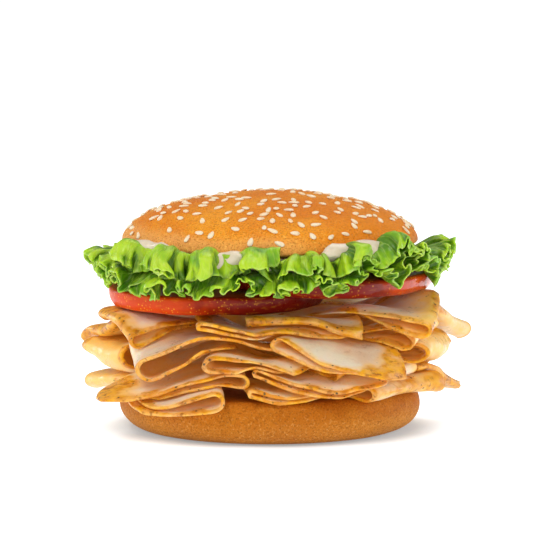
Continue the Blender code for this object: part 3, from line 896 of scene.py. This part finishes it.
@dataclass
class Turkey:
    """The folded slices of turkey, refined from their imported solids."""

    maker: Maker
    thin_most: float = 1.95
    plump: float = 0.06
    levels: int = 2
    crease: float = 0.7
    waves: tuple[Wave, ...] = ((26, 2.6, 8.8), (11, 0.9, 1.3), (4.6, 0.25, 5.1))
    pile_floor: float = 17.0
    pile_top: float = 53.0
    shade_reach: float = 13.0

    def build(self) -> None:
        """Builds every slice, then notes how deep in the pile each of their points lies, for the painted glow
        in the folds.
        """
        names = [name for name in self.maker.nodes if name.startswith("turkey_")]
        slices = [self.build_slice(name, number) for number, name in enumerate(names)]
        tree = surface_of([piece.data for piece in slices])
        for piece in slices:
            put_values(piece.data, "painted_fold_glow", hidden_share(points_of(piece.data), tree, self.shade_reach, 0.3))

    def rim_faces(self, bm: bmesh.types.BMesh) -> set[int]:
        """The faces of the slice's cut edge: looking in from them, the slice is deep.

        Args:
            bm: the slice in millimetres.

        Returns:
            The indices of those faces.
        """
        tree = BVHTree.FromBMesh(bm)
        found = set()
        for face in bm.faces:
            inward = -face.normal
            _, _, _, depth = tree.ray_cast(face.calc_center_median() + inward * 0.02, inward)
            if depth is None or depth > self.thin_most:
                found.add(face.index)
        return found

    def build_slice(self, name: str, number: int) -> bpy.types.Object:
        """Refines one slice.

        Args:
            name: its node.
            number: its place in the pile, which seeds its variation.

        Returns:
            The slice.
        """
        bm = self.maker.copied(name)
        layer = bm.verts.layers.float.new("rim")
        crease = bm.edges.layers.float.new("crease_edge")
        bm.faces.ensure_lookup_table()
        rim = self.rim_faces(bm)
        edges = [e for e in bm.edges if sum(f.index in rim for f in e.link_faces) == 1]
        rim_points = [v.co.copy() for v in {v for e in edges for v in e.verts}]
        for vert in bm.verts:
            vert[layer] = min((vert.co - other).length for other in rim_points)
        for edge in edges:
            edge[crease] = self.crease
        quads(bm)
        slice_name = name.replace("turkey_", "slice_")
        obj = self.maker.refined(slice_name, bm, "SUBSURF", levels=self.levels, render_levels=self.levels)
        fine = obj.data
        normals = np.array([v.normal for v in fine.vertices])
        points = points_of(fine) + normals * self.plump
        fine.vertices.foreach_set("co", (self.rippled(points) * MM).ravel())
        draw = np.random.default_rng(40 + number)
        outer = abs(points[:, 0]) / 70
        # painted glow: the outer ends are warmer, as if lit through the thin loops, and less so on the right
        painted_end_glow = soft_step(outer, 0.6, 0.92) * np.where(points[:, 0] > 0, 0.75, 1)
        put_values(fine, "tone_and_painted_glow", np.clip(draw.uniform(0.0, 0.3) + painted_end_glow, 0, 1))
        return self.maker.wear(obj, Finish.TURKEY, "turkey", [name])

    def rippled(self, points: np.ndarray) -> np.ndarray:
        """The points rippled by one field that all the slices share, so that none cuts into another.

        Args:
            points: a slice's points in millimetres.

        Returns:
            The points moved.
        """
        moved = shifts(points, self.waves)
        low = np.clip((points[:, 2] - self.pile_floor) / 4, 0, 1)
        high = np.clip((self.pile_top - points[:, 2]) / 6, 0, 1)
        moved[:, 2] *= 0.7 * low * high
        return points + moved


@dataclass
class Tomato:
    """A round tomato slice with a taut skin that draws in below."""

    maker: Maker
    radius: float = 41.0
    thickness: float = 7.0
    tilt_deg: float = 1.2
    offset: float = 20.6
    middle_y: float = -4.0
    sag: float = 1.3
    steps: int = 144

    def build(self) -> None:
        """Builds both slices."""
        self.build_slice("tomato_left", -1, 0.0, 0.0)
        self.build_slice("tomato_right", 1, self.tilt_deg, self.sag)

    def build_slice(self, node: str, side: int, tilt: float, sag: float) -> None:
        """Builds one slice where its node lies.

        Args:
            node: the node's name.
            side: -1 on the left, 1 on the right.
            tilt: how far its outer end is lowered, in degrees.
            sag: how far its front edge hangs, in millimetres.
        """
        half = self.thickness / 2
        r = self.radius
        profile = [(0, half), (10, half), (20, half), (30, half), (r - 2.6, half)]
        profile += arc((r - 1.5, half - 1.5), (1.5, 1.5), 80, 0, 6)
        profile += [(r - 0.1, 0.3), (r - 0.35, -0.9), (r - 0.8, -1.9)]
        profile += [(r - 1.6, -half + 0.35), (r - 2.8, -half)]
        profile += [(28, -half), (14, -half), (0, -half)]
        bm = turned(profile, self.steps)
        inward = []
        lean = Matrix.Rotation(math.radians(tilt), 3, "Y")
        low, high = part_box(node)
        for vert in bm.verts:
            around = math.atan2(vert.co.y, vert.co.x)
            inward.append(r - vert.co.xy.length - 1.3 * max(0.0, -vert.co.z / half))
            vert.co.xy *= 1 + 0.012 * math.cos(3 * around + side) + 0.008 * math.cos(7 * around)
            vert.co = lean @ vert.co
            vert.co.z -= sag * (max(0.0, -vert.co.y) / r) ** 2
            vert.co += Vector((side * self.offset, self.middle_y, (low.z + high.z) / 2 / MM))
        uneven(bm, (14, 0.4, 2.0 + side), lambda co: 1.0)
        name = node.replace("tomato_", "tomato_slice_")
        piece = self.maker.piece(name, bm, Finish.TOMATO, "tomato", [node])
        put_values(piece.data, "inward", np.array(inward))
        across = points_of(piece.data)[:, 0]
        put_values(piece.data, "wet", soft_step(across, 30, 46))
        # darker towards the middle: partly deep red, partly painted shade under the lettuce
        put_values(piece.data, "painted_shade_and_deep_red", soft_step(across, -58, 5) * (1 - 0.6 * soft_step(across, 34, 50)))


@dataclass(frozen=True)
class Frill:
    """One size of ruffle along a leaf's rim."""

    length: float
    depth: float
    start: float
    lean: float


@dataclass
class LeafLayer:
    """One sheet of a leaf: where it runs round the sandwich, and how it rises or hangs outside the bun.

    Lip is its height where it comes out, arch how far it bulges over the straight line to its rim, rim
    the height of that, reach the rim's distance from the middle, and swing the depth of its broad waves.
    """

    start_deg: float
    end_deg: float
    lip: float
    arch: float
    rim: float
    reach: float
    swing: float
    seed: int


@dataclass
class Lettuce:
    """The lettuce: sheets of ruffled leaf that come out from under the crown all round."""

    maker: Maker
    inner_radius: float = 38.0
    lip_radius: float = 55.5
    side_extra: float = 4.5
    thickness: float = 0.45
    rows: int = 34
    cell: float = 0.42
    broad_length: float = 27.0
    front_limit: float = 67.0
    side_limit: float = 72.5
    rein: float = 3.0
    nook_reach: float = 9.0
    rim_lifts: tuple[Point, ...] = (
        (-180, 0.0), (-158, 0.5), (-145, -2.5), (-124, -4.5), (-112, -5.0), (-101, -1.0), (-90, -4.5),
        (-76, -3.5), (-60, 0.0), (-45, 3.0), (-30, 3.0), (-14, 1.5), (4, -0.5), (90, 0.0),
    )
    frills: tuple[Frill, ...] = (
        Frill(12.0, 2.7, 0.5, 0.42),
        Frill(5.2, 1.15, 0.74, 0.38),
    )
    end_taper_deg: float = 11.0
    crumples: tuple[Wave, ...] = ((10, 2.6, 3.3), (4.6, 1.0, 6.1))
    bend_radius: float = 47.0
    mean_radius: float = 64.0
    gathers: float = 1.5
    twist: float = 2.4
    teeth: tuple[Point, ...] = ((0.75, 3.4), (0.4, 1.5))

    def build(self) -> None:
        """Builds the leaf pieces, each of two sheets, one for each packed leaf."""
        front = [
            LeafLayer(-158, -86, 69.0, 6.2, 68.5, 63.0, 4.8, 21),
            LeafLayer(-100, -22, 68.0, 4.8, 68.0, 62.5, 4.8, 22),
            LeafLayer(-168, -24, 64.5, 0.5, 61.5, 62.0, 3.4, 23),
        ]
        right = [
            LeafLayer(-42, 34, 67.0, 0.8, 63.5, 63.5, 3.4, 31),
            LeafLayer(20, 98, 67.0, 1.6, 62.5, 62.0, 4.0, 32),
            LeafLayer(-42, 96, 64.5, 1.0, 62.5, 63.0, 2.8, 33),
        ]
        left = [
            LeafLayer(82, 158, 67.0, 1.6, 62.5, 62.0, 4.0, 41),
            LeafLayer(144, 220, 67.0, 1.0, 62.0, 62.0, 3.6, 42),
            LeafLayer(84, 224, 64.0, 0.5, 60.0, 62.5, 3.0, 43),
        ]
        leaves = [self.build_leaf(number, layers) for number, layers in enumerate((front, right, left), 1)]
        tree = surface_of([leaf.data for leaf in leaves])
        for leaf in leaves:
            # how hidden each point is, for the painted shade in the nooks
            put_values(leaf.data, "painted_nook_shade", hidden_share(points_of(leaf.data), tree, self.nook_reach, 0.6))

    def build_leaf(self, number: int, layers: list[LeafLayer]) -> bpy.types.Object:
        """Builds one leaf.

        Args:
            number: which packed leaf it stands for.
            layers: its sheets.

        Returns:
            The leaf.
        """
        bm = bmesh.new()
        edge = bm.verts.layers.float.new("edge")
        sheet = bm.verts.layers.float_vector.new("sheet")
        for layer in layers:
            grid, along, outward = self.sheet(layer)
            rows, columns = grid.shape[:2]
            before = len(bm.verts)
            bmesh.ops.create_grid(bm, x_segments=columns - 1, y_segments=rows - 1, size=1)
            bm.verts.ensure_lookup_table()
            for k, point in enumerate(grid.reshape(-1, 3)):
                row, column = divmod(k, columns)
                vert = bm.verts[before + k]
                vert.co = point
                vert[edge] = row / (rows - 1)
                vert[sheet] = (along[row, column], outward[row, column], layer.seed)
        shell = {"thickness": self.thickness * MM, "offset": 0}
        obj = self.maker.refined(f"leaf_{number}", bm, "SOLIDIFY", **shell)
        return self.maker.wear(obj, Finish.LETTUCE, "lettuce", [f"lettuce_leaf_{number}"])

    def sheet(self, layer: LeafLayer) -> tuple[np.ndarray, np.ndarray, np.ndarray]:
        """The points of one ruffled sheet.

        Args:
            layer: the sheet.

        Returns:
            The grid of points, the way along the rim and the way out from the middle, in millimetres.
        """
        rng = np.random.default_rng(layer.seed)
        span = math.radians(layer.end_deg - layer.start_deg)
        columns = int(span * self.mean_radius * self.gathers / self.cell)
        around = math.radians(layer.start_deg) + np.linspace(0, span, columns)
        sway = smooth_noise(columns, max(4, int(span * self.mean_radius / 17)), rng)
        drop = smooth_noise(columns, max(4, int(span * self.mean_radius / 22)), rng)
        side = self.side_extra * np.abs(np.cos(around)) ** 1.5
        way_in = np.minimum(around - around[0], around[-1] - around)
        whole = soft_step(np.degrees(way_in), 0, self.end_taper_deg)
        rim = self.lip_radius + (layer.reach + side + 1.2 * sway - self.lip_radius) * (0.3 + 0.7 * whole)
        hang = layer.lip + (layer.rim + 1.6 * drop + self.rim_lift(around) - layer.lip) * whole
        line = self.midline(layer, rim, hang)
        steps = np.linalg.norm(np.diff(line, axis=1), axis=2)
        way = np.concatenate([np.zeros((columns, 1)), np.cumsum(steps, 1)], 1)
        share = np.linspace(0, 1, self.rows) ** 0.8
        grid = np.zeros((self.rows, columns, 3))
        for j in range(columns):
            wanted = share * way[j, -1]
            radius = np.interp(wanted, way[j], line[j, :, 0])
            grid[:, j, 0] = radius * math.cos(around[j])
            grid[:, j, 1] = radius * math.sin(around[j])
            grid[:, j, 2] = np.interp(wanted, way[j], line[j, :, 1])
        out = np.linspace(0, 1, self.rows)[:, None]
        broad = Frill(self.broad_length, layer.swing, 0.42, 0.22)
        for frill in (broad, *self.frills):
            grid = self.ruffled(grid, out * (0.3 + 0.7 * whole), frill, rng)
        grid = self.reined(self.serrated(self.crumpled(grid, out), out, rng))
        along = self.rim_way(grid)[None, :] * np.ones((self.rows, 1))
        outward = (share * way.mean(0)[-1])[:, None] * np.ones((1, columns))
        return grid, along, outward

    def midline(self, layer: LeafLayer, rim: np.ndarray, hang: np.ndarray) -> np.ndarray:
        """The smooth line from the middle out to the rim in every direction.

        Args:
            layer: the sheet.
            rim: the rim's distance from the middle in each direction.
            hang: the rim's height in each direction.

        Returns:
            The radius and height of each line's points.
        """
        columns = len(rim)
        flat = np.full(columns, layer.lip)
        knots = [(np.full(columns, r), flat) for r in (self.inner_radius, self.bend_radius, self.lip_radius)]
        for share in (0.2, 0.45, 0.7, 0.88, 1.0):
            height = layer.lip + (hang - layer.lip) * share**1.5 + layer.arch * math.sin(math.pi * share)
            knots.append((self.lip_radius + (rim - self.lip_radius) * share, height))
        line = np.stack([np.stack(k, -1) for k in knots], 1)
        for _ in range(3):
            near, far = line[:, :-1], line[:, 1:]
            inner = np.stack([0.75 * near + 0.25 * far, 0.25 * near + 0.75 * far], 2)
            line = np.concatenate([line[:, :1], inner.reshape(columns, -1, 2), line[:, -1:]], 1)
        return line

    def rim_lift(self, around: np.ndarray) -> np.ndarray:
        """How much higher than its sheet's rim the rim is in each direction, in millimetres."""
        degrees = (np.degrees(around) + 180) % 360 - 180
        directions, lifts = zip(*self.rim_lifts)
        return np.interp(degrees, directions, lifts, period=360)

    def crumpled(self, grid: np.ndarray, out: np.ndarray) -> np.ndarray:
        """The points moved by noise that grows towards the rim.

        Args:
            grid: the sheet's points.
            out: how near each row is to the rim, from 0 to 1.

        Returns:
            The crumpled points.
        """
        return grid + shifts(grid, self.crumples) * soft_step(out, 0.35, 0.95)[..., None]

    def reined(self, grid: np.ndarray) -> np.ndarray:
        """The points with those that reach too far out drawn back softly."""
        x, y = grid[..., 0], grid[..., 1]
        radius = np.hypot(x, y)
        wider = (self.side_limit - self.front_limit) * (np.abs(x) / radius) ** 1.5
        limit = self.front_limit + wider - self.rein
        over = np.maximum(radius - limit, 0)
        scale = (radius - over + self.rein * np.tanh(over / self.rein)) / radius
        return grid * np.stack([scale, scale, np.ones_like(scale)], -1)

    @staticmethod
    def rim_way(grid: np.ndarray) -> np.ndarray:
        """The way along the rim to each column."""
        steps = np.linalg.norm(np.diff(grid[-1], axis=0), axis=1)
        return np.concatenate([[0], np.cumsum(steps)])

    def ruffled(
        self, grid: np.ndarray, out: np.ndarray, frill: Frill, rng: np.random.Generator
    ) -> np.ndarray:
        """Adds one size of ruffle to a sheet.

        Args:
            grid: the sheet's points.
            out: how near each point is to the free rim, from 0 to 1.
            frill: the ruffle.
            rng: the source of its unevenness.

        Returns:
            The ruffled points.
        """
        down = np.gradient(grid, axis=0)
        across = np.gradient(grid, axis=1)
        across /= np.linalg.norm(across, axis=2, keepdims=True) + 1e-9
        facing = np.cross(across, down)
        facing /= np.linalg.norm(facing, axis=2, keepdims=True) + 1e-9
        way = self.rim_way(grid)
        knots = max(4, int(way[-1] / frill.length))
        phase = math.tau * way / frill.length + 2.1 * smooth_noise(len(way), knots, rng)
        phase = phase + rng.uniform(0, math.tau)
        depth = frill.depth * (1 + 0.6 * smooth_noise(len(way), knots, rng))
        weight = soft_step(out, frill.start, 1.0)
        twist = self.twist * (1 - out) * smooth_noise(len(way), knots, rng)[None, :]
        swing = np.sin(phase[None, :] + twist)
        slide = np.sin(2 * (phase[None, :] + twist))
        shift = swing[..., None] * facing - frill.lean * slide[..., None] * across
        return grid + (weight * depth[None, :])[..., None] * shift

    def serrated(self, grid: np.ndarray, out: np.ndarray, rng: np.random.Generator) -> np.ndarray:
        """Cuts the rim into small uneven teeth.

        Args:
            grid: the sheet's points.
            out: how near each row is to the rim, from 0 to 1.
            rng: the source of the teeth.

        Returns:
            The points with the rim cut.
        """
        outward = grid[-1] - grid[-4]
        outward /= np.linalg.norm(outward, axis=1, keepdims=True) + 1e-9
        way = self.rim_way(grid)
        teeth = sum(deep * smooth_noise(len(way), int(way[-1] / long), rng) for deep, long in self.teeth)
        weight = soft_step(out, 0.86, 1.0)
        return grid + weight[..., None] * teeth[None, :, None] * outward[None]


@dataclass
class Mayonnaise:
    """The mayonnaise under the crown, with lobes pressed out round its lip."""

    maker: Maker
    levels: int = 2
    lobes_from: float = 55.0

    def build(self) -> None:
        """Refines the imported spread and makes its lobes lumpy."""
        bm = self.maker.copied("mayonnaise")
        quads(bm)
        obj = self.maker.refined("spread", bm, "SUBSURF", levels=self.levels, render_levels=self.levels)
        for vert in obj.data.vertices:
            spot = vert.co / MM
            free = clamped((spot.xy.length - self.lobes_from) / 3)
            vert.co += (wavy(spot, 6.5, 1.7, 4.4) + wavy(spot, 2.8, 0.4, 9.1)) * free * MM
        self.maker.wear(obj, Finish.CREAM, "mayonnaise", ["mayonnaise"])


@dataclass(frozen=True)
class Softbox:
    """A soft studio light."""

    name: str
    place: tuple[float, float, float]
    size: tuple[float, float]
    power: float
    tint: Colour = (1, 1, 1)


@dataclass
class Studio:
    """Pale floor, soft lights and the camera."""

    pixel: float = 0.380
    width_px: int = 550
    middle_x: float = 1.9
    middle_z: float = 58.1
    elevation_deg: float = 6.5
    distance: float = 1.8
    sensor: float = 36.0
    sky: float = 0.30
    boxes: tuple[Softbox, ...] = (
        Softbox("key light", (-0.45, -0.7, 0.95), (0.5, 0.5), 6.0, (1.0, 0.97, 0.93)),
        Softbox("front light", (0.15, -1.2, 0.3), (0.7, 0.4), 2.6),
        Softbox("right light", (0.85, -0.5, 0.45), (0.3, 0.6), 1.7),
        Softbox("top light", (0.15, 0.35, 1.0), (0.8, 0.5), 3.6),
        Softbox("left light", (-0.9, 0.1, 0.4), (0.3, 0.7), 1.6),
        Softbox("right rim light", (0.8, 0.5, 0.2), (0.3, 0.4), 2.2),
        Softbox("left rim light", (-0.75, 0.6, 0.25), (0.25, 0.4), 1.4),
    )

    def build(self) -> None:
        """Sets up the studio."""
        scene = bpy.context.scene
        scene.view_settings.view_transform = "Standard"
        world = bpy.data.worlds.new("studio air")
        world.use_nodes = True
        world.node_tree.nodes["Background"].inputs["Color"].default_value = (1, 1, 1, 1)
        world.node_tree.nodes["Background"].inputs["Strength"].default_value = self.sky
        scene.world = world
        self.build_floor()
        for box in self.boxes:
            self.build_light(box)
        self.build_camera()

    def build_floor(self) -> None:
        """A wide pale floor."""
        bm = bmesh.new()
        bmesh.ops.create_grid(bm, x_segments=1, y_segments=1, size=40)
        mesh = bpy.data.meshes.new("floor")
        bm.to_mesh(mesh)
        bm.free()
        floor = bpy.data.objects.new("floor", mesh)
        bpy.context.scene.collection.objects.link(floor)
        g = Graph("pale floor")
        tint = g.noise(400, 1, 0.5)
        colour = g.mix(tint, (0.54, 0.60, 0.64), (0.56, 0.62, 0.66))
        # painted contact shadow: the floor's glow is dim and cool close round the sandwich, stretched wider
        # to the sides, and white further off
        away = g.node("ShaderNodeVectorMath", {"operation": "LENGTH"}, {0: g.place((0.95, 1.06, 1))}, "Value")
        near = g.mix(away.between(50, 68), (0.25, 0.29, 0.31), (0.80, 0.80, 0.80))
        glow = g.mix(away.between(150, 900), near, (0.88, 0.88, 0.88))
        g.feed("Emission Color", glow)
        material = g.finish(colour, 0.85 + tint * 0.02, g.relief(tint, 0.01), Emission_Strength=1.0)
        mesh.materials.append(material)

    @staticmethod
    def build_light(box: Softbox) -> None:
        """Adds one soft light that faces the sandwich."""
        lamp = bpy.data.lights.new(box.name, "AREA")
        lamp.shape = "RECTANGLE"
        lamp.size, lamp.size_y = box.size
        lamp.energy = box.power
        lamp.color = box.tint
        obj = bpy.data.objects.new(box.name, lamp)
        bpy.context.scene.collection.objects.link(obj)
        obj.location = box.place
        facing = Vector((0, 0, 0.05)) - obj.location
        obj.rotation_euler = facing.to_track_quat("-Z", "Y").to_euler()

    def build_camera(self) -> None:
        """The camera, a long way off and a little above, square to the front."""
        data = bpy.data.cameras.new("camera")
        data.sensor_width = self.sensor
        across = self.width_px * self.pixel * MM
        data.lens = self.sensor * self.distance / across
        data.clip_start, data.clip_end = 0.05, 100
        camera = bpy.data.objects.new("camera", data)
        bpy.context.scene.collection.objects.link(camera)
        up = math.radians(self.elevation_deg)
        back = Vector((0, -math.cos(up), math.sin(up)))
        camera.location = Vector((self.middle_x, 0, self.middle_z)) * MM + back * self.distance
        camera.rotation_euler = (-back).to_track_quat("-Z", "Y").to_euler()
        bpy.context.scene.camera = camera


def main() -> None:
    """Builds the dressed sandwich and its studio."""
    logging.basicConfig(level=logging.INFO, format="%(message)s")
    noise.seed_set(NOISE_SEED)
    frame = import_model()
    maker = Maker(frame["nodes"], Wardrobe())
    for part in (Heel(maker), Turkey(maker), Tomato(maker), Lettuce(maker), Mayonnaise(maker), Crown(maker)):
        part.build()
    Studio().build()
    log.info("%d pieces", len(maker.made))


if __name__ == "__main__":
    main()
